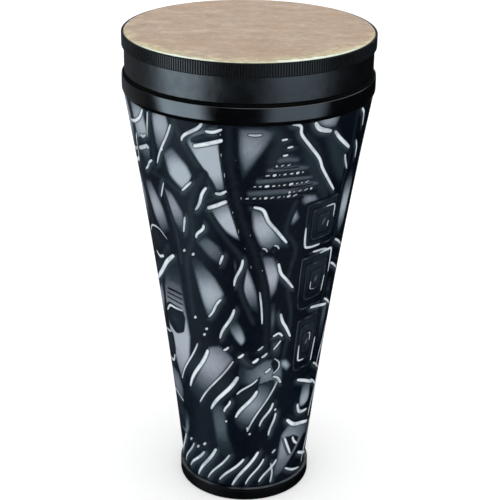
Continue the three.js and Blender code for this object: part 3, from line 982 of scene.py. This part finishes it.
def rim_facing(material):
    """Thin charcoal skin round the hoop, its bottom edge rounded and its top edge thinned."""
    thick = FACING_OUT - FACING_IN
    profile = [(FACING_IN, FACING_LOW)]
    profile += arc(FACING_OUT - 0.35, FACING_LOW + 0.35, 0.35, -90, 0, 5)
    profile += [(FACING_OUT, FACING_TOP - 0.1), (FACING_OUT - thick / 2, FACING_TOP)]
    profile += [(FACING_IN, FACING_TOP)]
    return turned("rim_facing_skin", profile, material, "head", "rim_facing")


def head_film(material):
    """The stretched film: flat, rolled over the hoop, and ending in a short skirt behind the tape."""
    bend = FILM_BEND
    middle = (FILM_OUT - bend, FILM_TOP - bend)
    outer = arc(*middle, bend, 0, 90, 12)
    inner = arc(*middle, bend - FILM_THICKNESS, 90, 0, 12)
    rings = np.linspace(middle[0], 0, 24)[1:-1]
    profile = [(FILM_OUT - FILM_THICKNESS, FILM_LOW), (FILM_OUT, FILM_LOW)] + outer
    profile += [(r, FILM_TOP) for r in rings] + [(0.5, FILM_TOP), (0.5, FILM_TOP - FILM_THICKNESS)]
    profile += [(r, FILM_TOP - FILM_THICKNESS) for r in rings[::-1]] + inner
    points, faces = turned_grid(profile)
    hub = profile.index((0.5, FILM_TOP))
    count = len(profile)
    under = hub + 1
    faces = [f for f in faces if not {f[0] % count, f[3] % count} == {hub, under}]
    top_centre = len(points)
    low_centre = top_centre + 1
    points = np.vstack([points, [(0, 0, FILM_TOP), (0, 0, FILM_TOP - FILM_THICKNESS)]])
    for i in range(SIDES):
        j = (i + 1) % SIDES
        faces.append((i * count + hub, j * count + hub, top_centre))
        faces.append((j * count + under, i * count + under, low_centre))
    return make_mesh("head_film_suede", points, faces, material, "head", ["head_film"])


def head_tape(material):
    """Webbing with upright ribs, proud of the head's side, its top edge rolled in round the film."""
    steps_per_rib = 6
    thick = TAPE_OUT - TAPE_IN
    face = TAPE_OUT
    profile = [(TAPE_IN, TAPE_LOW), (face - 1.0, TAPE_LOW)]
    profile += [(face - 0.3, TAPE_LOW + 0.3), (face, TAPE_LOW + 0.9)]
    profile += [(face, z) for z in np.linspace(TAPE_LOW + 1.8, TAPE_TOP - 1.9, 9)]
    profile += arc(face - 1.3, TAPE_TOP - 1.3, 1.3, 0, 90, 6)
    profile += arc(TAPE_IN + 0.6, TAPE_TOP - 0.6, 0.6, 90, 180, 4)

    def ribbed(turn, radius, height):
        rib = np.clip(0.5 + 0.9 * np.cos(turn * TAPE_RIBS), 0, 1)
        outward = np.clip((radius - TAPE_IN) / thick, 0, 1)
        return radius - RIB_DEPTH * (1 - rib) * outward, height

    return turned(
        "head_tape_webbing", profile, material, "head", "head_tape",
        sides=TAPE_RIBS * steps_per_rib, shape=ribbed, sharp=30,
    )


def locating_sleeve(material):
    """Moulded ring with a long lead-in, a shoulder line and eased edges."""
    face = SLEEVE_OUT
    profile = [(SLEEVE_IN + 0.4, SLEEVE_LOW), (face - 2.6, SLEEVE_LOW), (face - 2.0, SLEEVE_LOW + 0.4)]
    profile += [(face - 0.3, SLEEVE_LOW + 3.6), (face, SLEEVE_LOW + 4.4)]
    profile += [(face, HOOP_LOW - 2.0), (face - 0.4, HOOP_LOW - 1.6), (face, HOOP_LOW - 1.2)]
    profile += [(face, SLEEVE_TOP - 0.5), (face - 0.5, SLEEVE_TOP), (SLEEVE_IN + 0.5, SLEEVE_TOP)]
    profile += [(SLEEVE_IN, SLEEVE_TOP - 0.5), (SLEEVE_IN, SLEEVE_LOW + 0.4)]
    return turned("locating_sleeve_ring", profile, material, "head", "locating_sleeve")


def shell_wrap(material):
    """The cloth wrap with the print painted on it, and its lapped seam up the back."""
    heights = np.linspace(WRAP_LOW + 0.4, WRAP_HIGH - 0.3, PRINT_ROWS)
    profile = [(wrap_radius(z), z) for z in heights] + [(wrap_radius(WRAP_HIGH) - 0.35, WRAP_HIGH)]
    profile += [(wrap_radius(z) - WRAP_THICKNESS, z) for z in np.linspace(WRAP_HIGH, WRAP_LOW, 12)]
    profile += [(wrap_radius(WRAP_LOW) - 0.3, WRAP_LOW)]

    def lapped(turn, radius, height):
        lap = np.radians(SEAM_ANGLE)
        past = turn - (np.pi - lap / 2)
        rise = np.clip(past / np.radians(0.7), 0, 1) * np.clip((lap - past) / np.radians(3.5), 0, 1)
        return radius + SEAM_STEP * rise, height

    piece = turned(
        "shell_wrap_print", profile, material, "shell", "shell_wrap",
        sides=PRINT_COLUMNS, shape=lapped,
    )
    points = np.array([v.co for v in piece.data.vertices]) / MM
    angle = np.degrees(np.arctan2(points[:, 0], -points[:, 1]))
    design = Print(angle, points[:, 2])
    draw_print(design)
    for name, values in (("tone", design.tone), ("glint", design.glint), ("ink", design.ink)):
        layer = piece.data.attributes.new(name, "FLOAT", "POINT")
        layer.data.foreach_set("value", values.astype(np.float32))
    return piece


# ---------------------------------------------------------------- stage, light and camera

SUN = 1.26
SUN_WIDTH = 75  # degrees across, so that shadows stay soft
SUN_TILT = 8  # degrees from straight overhead, towards the camera
FILL = 0.70
# Each panel: the bearings in degrees at which it starts and ends, its low and high edge as the sine of the
# rise above level, and its radiance. A later panel covers an earlier one.
PANELS = (
    (-86, -40, -0.50, 0.75, (4.1, 5.0, 5.7)),
    (18, 71, -0.50, 0.75, (1.45, 1.83, 2.2)),
    (172, 190, -0.50, 0.75, (2.4, 2.9, 3.3)),
    (-190, -172, -0.50, 0.75, (2.4, 2.9, 3.3)),
    (-160, -104, -0.50, 0.75, (0.13, 0.14, 0.15)),
    (84, 160, 0.45, 0.95, (2.2, 2.5, 2.7)),
    (-25, 84, 0.60, 0.98, (3.6, 3.8, 4.0)),
    (-120, -86, 0.45, 0.95, (1.6, 1.8, 2.0)),
)
PANEL_GLOOM = (0.004, 0.0045, 0.005)  # between the panels
PANEL_BLUR = 8  # degrees, at the upright edges
PANEL_RISE_BLUR = 0.06

EYE = (0, -1.712, 1.104)
LENS = 95.66
LOOK_DOWN = 23.657  # degrees
LOOK_RIGHT = 0.158
ROLL = 0.78


def floor():
    """A wide, plain pale floor that reflections don't see."""
    size = 12
    mesh = bpy.data.meshes.new("floor")
    corners = [(-size, -size, 0), (size, -size, 0), (size, size, 0), (-size, size, 0)]
    mesh.from_pydata(corners, [], [(0, 1, 2, 3)])
    shader = Shader("pale_floor", specular=0.1)
    shader.surface.inputs["Base Color"].default_value = (0.9, 0.9, 0.9, 1)
    shader.surface.inputs["Emission Color"].default_value = (1, 1, 1, 1)
    shader.surface.inputs["Emission Strength"].default_value = 0.2
    shader.surface.inputs["Roughness"].default_value = 0.9
    mesh.materials.append(shader.material)
    plane = bpy.data.objects.new("floor", mesh)
    bpy.context.scene.collection.objects.link(plane)
    plane.visible_glossy = False


def lighting():
    """A soft overhead sun, and a surround: even fill, with cool panels, tall or high up, that only
    reflections see."""
    lamp = bpy.data.lights.new("overhead", "SUN")
    lamp.angle = math.radians(SUN_WIDTH)
    lamp.energy = SUN
    light = bpy.data.objects.new("overhead", lamp)
    bpy.context.scene.collection.objects.link(light)
    light.rotation_euler = (math.radians(SUN_TILT), 0, 0)

    world = bpy.data.worlds.new("studio")
    bpy.context.scene.world = world
    world.use_nodes = True
    nodes = Nodes(world.node_tree)
    angle, _, _, rise = nodes.bearing(nodes.node("ShaderNodeTexCoord").outputs["Generated"])
    panels = PANEL_GLOOM
    for start, end, low, high, radiance in PANELS:
        wide = nodes.window(angle, math.radians(start), math.radians(end), math.radians(PANEL_BLUR))
        tall = nodes.window(rise, low, high, PANEL_RISE_BLUR)
        panels = nodes.mix(nodes.product(wide, tall), panels, radiance)
    path = nodes.node("ShaderNodeLightPath").outputs
    surround = nodes.mix(path["Is Glossy Ray"], (FILL, FILL, FILL), panels)
    surround = nodes.mix(path["Is Camera Ray"], surround, (0.98, 0.98, 0.98))
    world.node_tree.links.new(surround, world.node_tree.nodes["Background"].inputs["Color"])


def camera():
    """A long lens in front of the drum and above it, looking down at it with a slight roll."""
    lens = bpy.data.cameras.new("camera")
    lens.sensor_width = 36
    lens.lens = LENS
    lens.clip_start = 0.05
    eye = bpy.data.objects.new("camera", lens)
    bpy.context.scene.collection.objects.link(eye)
    eye.location = EYE
    down = math.radians(LOOK_DOWN)
    right = math.radians(LOOK_RIGHT)
    look = Vector((math.sin(right) * math.cos(down), math.cos(right) * math.cos(down), -math.sin(down)))
    eye.rotation_mode = "QUATERNION"
    level = look.to_track_quat("-Z", "Y")
    eye.rotation_quaternion = level @ Matrix.Rotation(math.radians(ROLL), 4, "Z").to_quaternion()
    bpy.context.scene.camera = eye


# ---------------------------------------------------------------- the drum

for leftover in [o for o in bpy.data.objects if o.name in ("Cube", "Light", "Camera")]:
    bpy.data.objects.remove(leftover)

gloss = moulded(
    "gloss_black", (0.0008, 0.001, 0.0013), (0.002, 0.0024, 0.003),
    rough=(0.12, 0.2), grain=700, grain_depth=0.00003, ripple=0.00012, specular=0.5,
)
satin = moulded(
    "satin_charcoal", (0.0009, 0.0013, 0.0018), (0.0018, 0.0024, 0.0033),
    rough=(0.31, 0.40), grain=500, grain_depth=0.00006, ripple=0.0005, specular=0.5,
)
soft_rubber = moulded(
    "gasket_rubber", (0.001, 0.001, 0.001), (0.002, 0.002, 0.002),
    rough=(0.7, 0.9), grain=600, grain_depth=0.0001, ripple=0.0003, specular=0.02,
)
pad_rubber = moulded(
    "pad_rubber", (0.008, 0.008, 0.008), (0.016, 0.016, 0.016),
    rough=(0.6, 0.8), grain=600, grain_depth=0.0001, ripple=0.0002, specular=0.3,
)
sleeve_plastic = moulded(
    "sleeve_plastic", (0.006, 0.006, 0.007), (0.013, 0.013, 0.014),
    rough=(0.38, 0.5), grain=800, grain_depth=0.00005, ripple=0.0002, specular=0.4,
)

foot_ring(foot_material())
shell_core(fibre_material("wound_fibre", (0.055, 0.036, 0.022), (0.12, 0.082, 0.052)))
shell_wrap(print_material())
collar_ring(gloss)
seat_gasket(soft_rubber)
for number in range(1, 5):
    grip_pad(number, pad_rubber)
rim_hoop(fibre_material("hoop_fibre", (0.06, 0.04, 0.025), (0.13, 0.09, 0.058)))
rim_facing(satin)
head_film(film_material())
head_tape(webbing_material())
locating_sleeve(sleeve_plastic)

floor()
lighting()
camera()
bpy.context.scene.view_settings.view_transform = "Standard"
